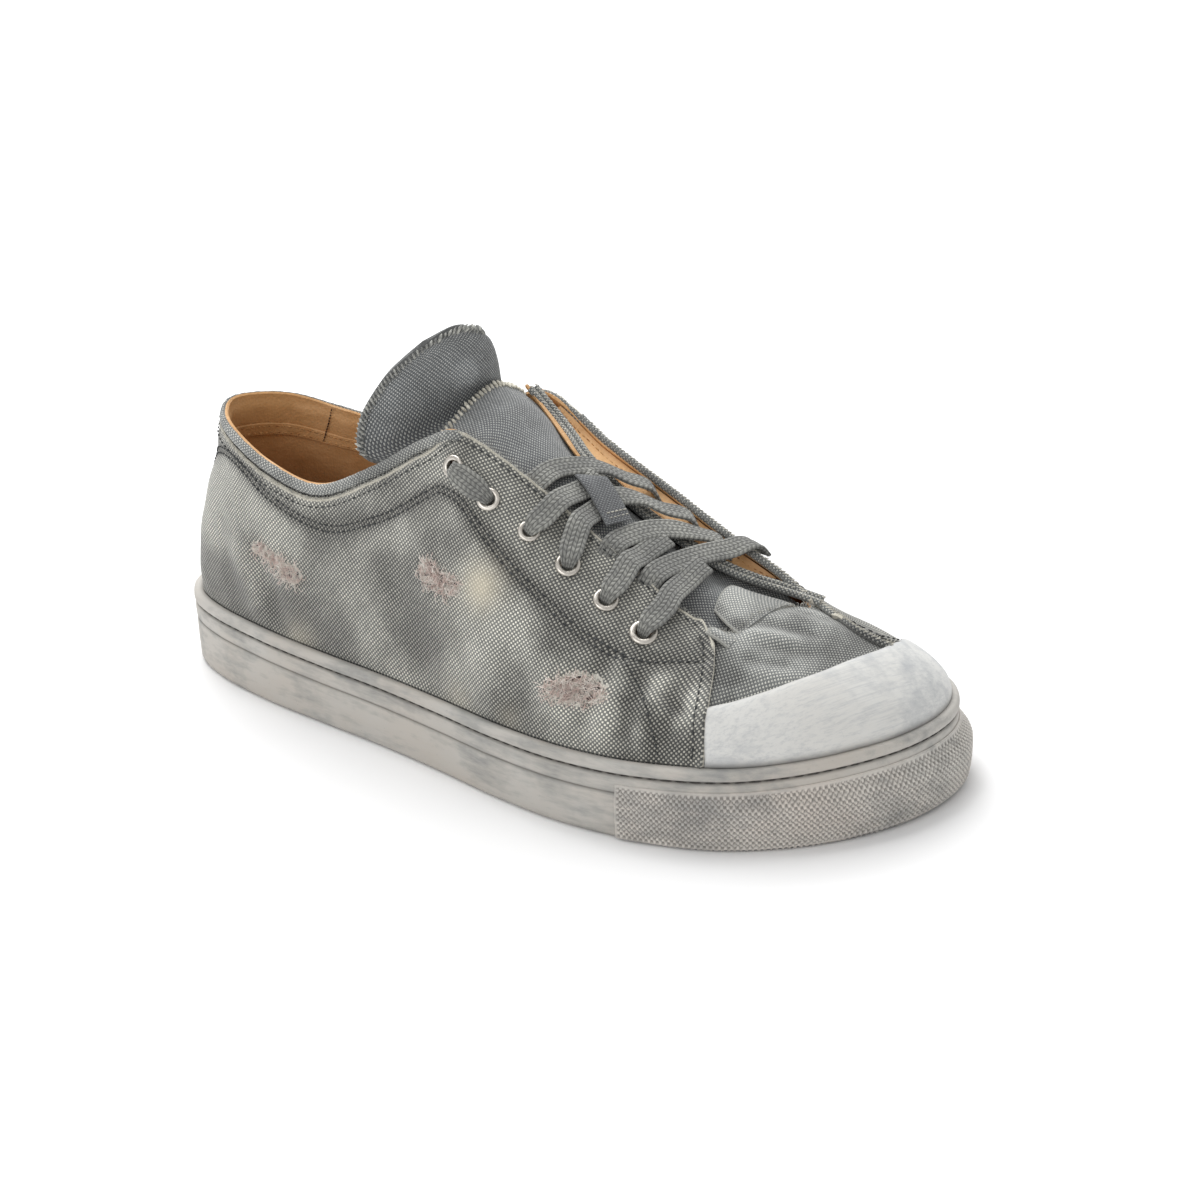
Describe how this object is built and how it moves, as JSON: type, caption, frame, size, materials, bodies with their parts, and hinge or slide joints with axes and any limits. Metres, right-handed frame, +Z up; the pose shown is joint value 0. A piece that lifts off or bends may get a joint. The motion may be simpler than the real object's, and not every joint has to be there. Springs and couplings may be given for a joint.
{
  "type": "worn canvas sneaker",
  "caption": "Worn low canvas sneaker for the right foot, standing empty and unbent on its cup sole, with a pale toe cap, a tall tongue and a slack flat lace.",
  "frame": {"origin": "centre of the bounding box in plan, at floor level", "axes": "+X to the toe, +Y to the inner (big toe) side, +Z up"},
  "size_m": [0.3018, 0.1162, 0.1424],
  "materials": {
    "canvas": "coarse faded grey canvas, frayed and dusty",
    "lining": "worn tan lining",
    "sole_rubber": "warm pale grey rubber, smudged",
    "cap_rubber": "smooth pale grey, brushed with grime",
    "lace_webbing": "flat ribbed grey braid",
    "eyelet_metal": "dull nickel"
  },
  "bodies": {
    "root": {"outsole": "sole_rubber", "toe_bumper": "sole_rubber", "upper": "canvas", "toe_cap": "cap_rubber", "insole": "lining", "tongue": "canvas", "tongue_flap": "canvas", "throat_facing": "lining", "lace_keeper": "lace_webbing", "lace_bar_outer": "lace_webbing", "lace_bar_inner": "lace_webbing", "lace_cross_rear": "lace_webbing", "lace_strand_middle": "lace_webbing", "lace_cross_middle": "lace_webbing", "lace_cross_front": "lace_webbing", "eyelet_outer_1": "eyelet_metal", "eyelet_outer_2": "eyelet_metal", "eyelet_outer_3": "eyelet_metal", "eyelet_outer_4": "eyelet_metal", "eyelet_outer_5": "eyelet_metal", "eyelet_outer_6": "eyelet_metal", "eyelet_inner_1": "eyelet_metal", "eyelet_inner_2": "eyelet_metal", "eyelet_inner_3": "eyelet_metal", "eyelet_inner_4": "eyelet_metal", "eyelet_inner_5": "eyelet_metal", "eyelet_inner_6": "eyelet_metal"}
  },
  "joints": []
}
